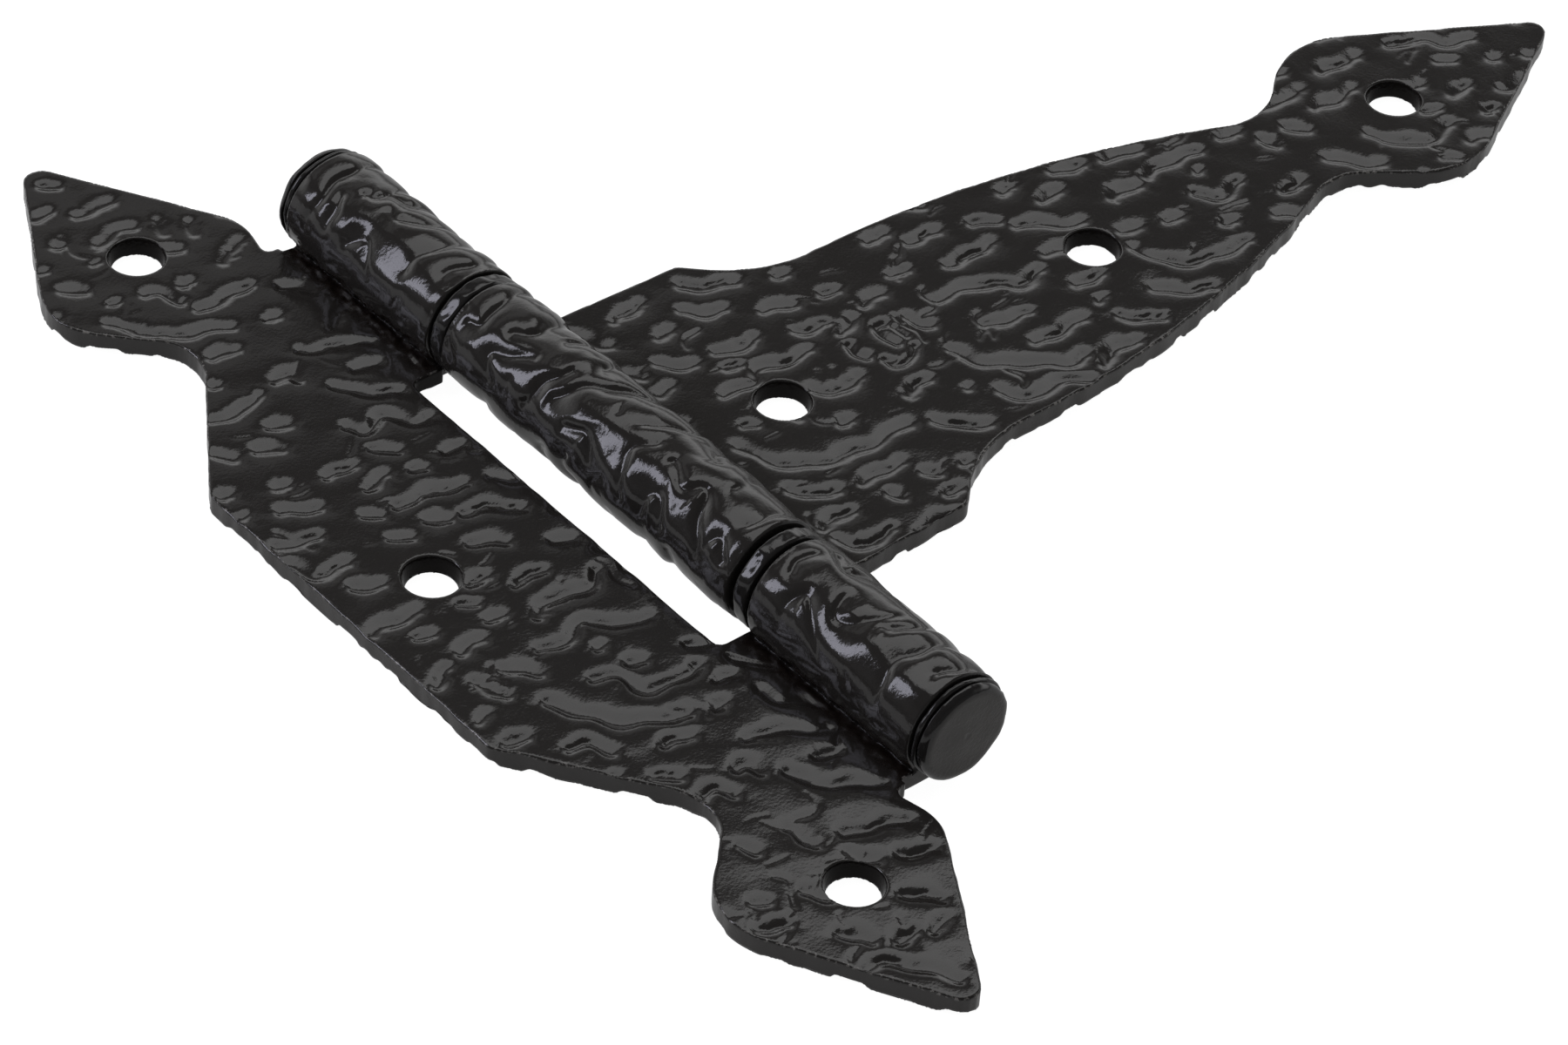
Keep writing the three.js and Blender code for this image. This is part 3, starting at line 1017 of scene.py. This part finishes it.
def enamel(name, colour, ior, peel, wear_and_glint):
    """Gloss black enamel over steel, with an orange peel surface."""
    material = bpy.data.materials.new(name)
    material.use_nodes = True
    tree = material.node_tree
    link = tree.links.new
    shader = tree.nodes["Principled BSDF"]
    shader.inputs["Base Color"].default_value = colour
    shader.inputs["Roughness"].default_value = GLOSS
    shader.inputs["IOR"].default_value = ior
    place = tree.nodes.new("ShaderNodeTexCoord")
    fine = add(tree, "ShaderNodeTexNoise", Scale=2600.0, Detail=2.0)
    broad = add(tree, "ShaderNodeTexNoise", Scale=900.0, Detail=1.0)
    fine_bump = add(tree, "ShaderNodeBump", Strength=peel, Distance=0.00003)
    broad_bump = add(tree, "ShaderNodeBump", Strength=0.4 * peel, Distance=0.00005)
    link(place.outputs["Object"], fine.inputs["Vector"])
    link(place.outputs["Object"], broad.inputs["Vector"])
    link(fine.outputs["Fac"], fine_bump.inputs["Height"])
    link(broad.outputs["Fac"], broad_bump.inputs["Height"])
    link(broad_bump.outputs["Normal"], fine_bump.inputs["Normal"])
    link(fine_bump.outputs["Normal"], shader.inputs["Normal"])
    # Brown paint in the seam, and the light line of wear and painted highlight on the top corners.
    if wear_and_glint:
        add_seam_paint_and_glint(tree, place, shader, colour)
    return material


hammered = enamel("hammered_black_enamel", (0.032, 0.029, 0.027, 1), 1.5, 0.5, True)
smooth = enamel("smooth_black_enamel", (0.022, 0.0205, 0.02, 1), 1.48, 0.3, False)
# Painted shade: a darker, less reflective black that stands in for the shade inside the holes, in
# the seam's corner and at the window's ends.
painted_shade_black = enamel("painted_shade_enamel", (0.014, 0.012, 0.011, 1), 1.2, 1.0, False)
pin_face = enamel("pin_face_enamel", (0.032, 0.0285, 0.026, 1), 1.44, 1.0, False)

jamb = build_leaf(
    "jamb_leaf_hammered",
    "jamb",
    hammered,
    half=JAMB_HALF,
    shift_y=0,
    side=-1,
    holes=JAMB_HOLES,
    knuckles=[JAMB_KNUCKLE, (-JAMB_KNUCKLE[1], -JAMB_KNUCKLE[0])],
    placed=JAMB_MARKS,
    seed=11,
)
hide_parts("jamb_leaf")
strap = build_leaf(
    "strap_leaf_hammered",
    "strap",
    hammered,
    half=STRAP_HALF,
    shift_y=PLAY,
    side=1,
    holes=STRAP_HOLES,
    knuckles=[STRAP_KNUCKLE],
    placed=STRAP_MARKS,
    seed=31,
)
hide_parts("strap_leaf")
turned_pin(smooth)
turned_washers(smooth)


# ---------------------------------------------------------------- studio
def glowing(name, albedo):
    """A matt white material with a light of its own, and its node tree."""
    material = bpy.data.materials.new(name)
    material.use_nodes = True
    tree = material.node_tree
    shader = tree.nodes["Principled BSDF"]
    shader.inputs["Base Color"].default_value = (albedo, albedo, albedo, 1)
    shader.inputs["Roughness"].default_value = 0.9
    shader.inputs["Specular IOR Level"].default_value = 0.0
    shader.inputs["Emission Color"].default_value = (1, 1, 1, 1)
    return material, tree, shader


def position(tree):
    """Sockets with the X, Y and Z of a point in the object's own frame."""
    place = tree.nodes.new("ShaderNodeTexCoord")
    split = tree.nodes.new("ShaderNodeSeparateXYZ")
    tree.links.new(place.outputs["Object"], split.inputs["Vector"])
    return split.outputs


def ramp(tree, socket, low, high, start, stop):
    """A smooth change from start to stop while the socket goes from low to high."""
    fade = tree.nodes.new("ShaderNodeMapRange")
    fade.interpolation_type = "SMOOTHSTEP"
    for key, value in (("From Min", low), ("From Max", high), ("To Min", start), ("To Max", stop)):
        fade.inputs[key].default_value = value
    tree.links.new(socket, fade.inputs["Value"])
    return fade.outputs["Result"]


def math_node(tree, operation, a, b):
    """The result of one operation on two sockets, or on a socket and a number."""
    node = tree.nodes.new("ShaderNodeMath")
    node.operation = operation
    for socket, value in zip(node.inputs, (a, b)):
        if isinstance(value, float):
            socket.default_value = value
        else:
            tree.links.new(value, socket)
    return node.outputs["Value"]


def floor_material():
    """White to the camera, but dim in reflections, with a bright band on its +X +Y side."""
    material, tree, shader = glowing("white_sweep", 0.35)
    x, y, z = position(tree)
    band = math_node(
        tree, "MULTIPLY", ramp(tree, z, 0.12, 0.45, 0.1, 1.0), ramp(tree, z, 0.4, 1.5, 1.1, 0.0)
    )
    side = ramp(tree, math_node(tree, "ADD", x, y), -0.3, 1.4, 0.06, 1.0)
    on_floor = ramp(tree, z, 0.005, 0.06, 0.35, 0.0)
    glow = math_node(tree, "MAXIMUM", math_node(tree, "MULTIPLY", band, side), on_floor)
    seen = tree.nodes.new("ShaderNodeLightPath").outputs["Is Camera Ray"]
    white = math_node(tree, "MAXIMUM", math_node(tree, "MULTIPLY", seen, 0.97), glow)
    tree.links.new(white, shader.inputs["Emission Strength"])
    return material


def overhead_panel(low, high, height):
    """A large soft panel over the hinge, dark across its far part but for a faint last strip."""
    material, tree, shader = glowing("overhead_panel", 0.0)
    along = position(tree)["Y"]
    near = ramp(tree, along, 0.58, 0.76, 1.55, 0.09)
    strength = math_node(tree, "ADD", near, ramp(tree, along, 0.9, 1.12, 0.0, 0.26))
    tree.links.new(strength, shader.inputs["Emission Strength"])
    mesh = bpy.data.meshes.new("overhead_panel")
    corners = [low, (low[0], high[1]), high, (high[0], low[1])]
    mesh.from_pydata([(x, y, height) for x, y in corners], [], [(0, 1, 2, 3)])
    mesh.materials.append(material)
    panel = bpy.data.objects.new("overhead_panel", mesh)
    bpy.context.scene.collection.objects.link(panel)


def sweep():
    """A round floor whose rim turns up into a low white backdrop."""
    profile = [  # radius and height
        (0.9, 0),
        (1.3, 0.02),
        (1.6, 0.1),
        (1.8, 0.25),
        (1.9, 0.45),
        (1.95, 0.75),
        (1.98, 1.15),
        (2.0, 1.55),
    ]
    sides = 96
    verts = [(0, 0, 0)]
    faces = []
    for r, z in profile:
        for i in range(sides):
            angle = 2 * math.pi * i / sides
            verts.append((r * math.cos(angle), r * math.sin(angle), z))
    for i in range(sides):
        faces.append((0, 1 + i, 1 + (i + 1) % sides))
    for row in range(len(profile) - 1):
        a = 1 + row * sides
        for i in range(sides):
            j = (i + 1) % sides
            faces.append((a + i, a + sides + i, a + sides + j, a + j))
    mesh = bpy.data.meshes.new("floor")
    mesh.from_pydata(verts, [], faces)
    mesh.polygons.foreach_set("use_smooth", np.ones(len(mesh.polygons), bool))
    mesh.materials.append(floor_material())
    floor = bpy.data.objects.new("floor", mesh)
    floor.location.z = -0.0005  # clear of the lowest hammer marks
    bpy.context.scene.collection.objects.link(floor)


def area_light(name, centre, aim, size, radiance, colour):
    """A rectangular softbox that is equally bright all over."""
    light = bpy.data.lights.new(name, "AREA")
    light.shape = "RECTANGLE"
    light.size, light.size_y = size
    light.color = colour
    light.energy = radiance * math.pi * size[0] * size[1]
    lamp = bpy.data.objects.new(name, light)
    lamp.location = centre
    lamp.rotation_euler = (Vector(aim) - Vector(centre)).to_track_quat("-Z", "Y").to_euler()
    bpy.context.scene.collection.objects.link(lamp)
    return lamp


sweep()
overhead_panel(low=(-0.33, 0.15), high=(1.03, 1.3), height=1)
area_light(
    "left_softbox",
    centre=(-0.69, 0.572, 0.533),
    aim=(0, 0, 0),
    size=(0.22, 0.54),
    radiance=5.2,
    colour=(0.86, 0.86, 1.0),
)
WORLD_LIGHT = 0.085
world = bpy.data.worlds.new("studio")
world.use_nodes = True
background = world.node_tree.nodes["Background"]
background.inputs["Color"].default_value = (1, 1, 1, 1)
background.inputs["Strength"].default_value = WORLD_LIGHT
bpy.context.scene.world = world
bpy.context.scene.view_settings.view_transform = "Standard"

# ---------------------------------------------------------------- camera
# Its lens, place, aim and roll are those that put the outline and the six screw holes where the
# photograph has them.
LENS = 145.34
EYE = Vector((-0.36824, -0.42271, 0.48627))
TARGET = Vector((0.00725, -0.0197, 0.006))
ROLL = math.radians(4.58)

camera_data = bpy.data.cameras.new("camera")
camera_data.lens = LENS
camera_data.sensor_width = 36
camera = bpy.data.objects.new("camera", camera_data)
roll = Matrix.Rotation(ROLL, 4, "Z")
aim = (TARGET - EYE).to_track_quat("-Z", "Y").to_matrix().to_4x4()
camera.matrix_world = Matrix.Translation(EYE) @ aim @ roll
bpy.context.scene.collection.objects.link(camera)
bpy.context.scene.camera = camera
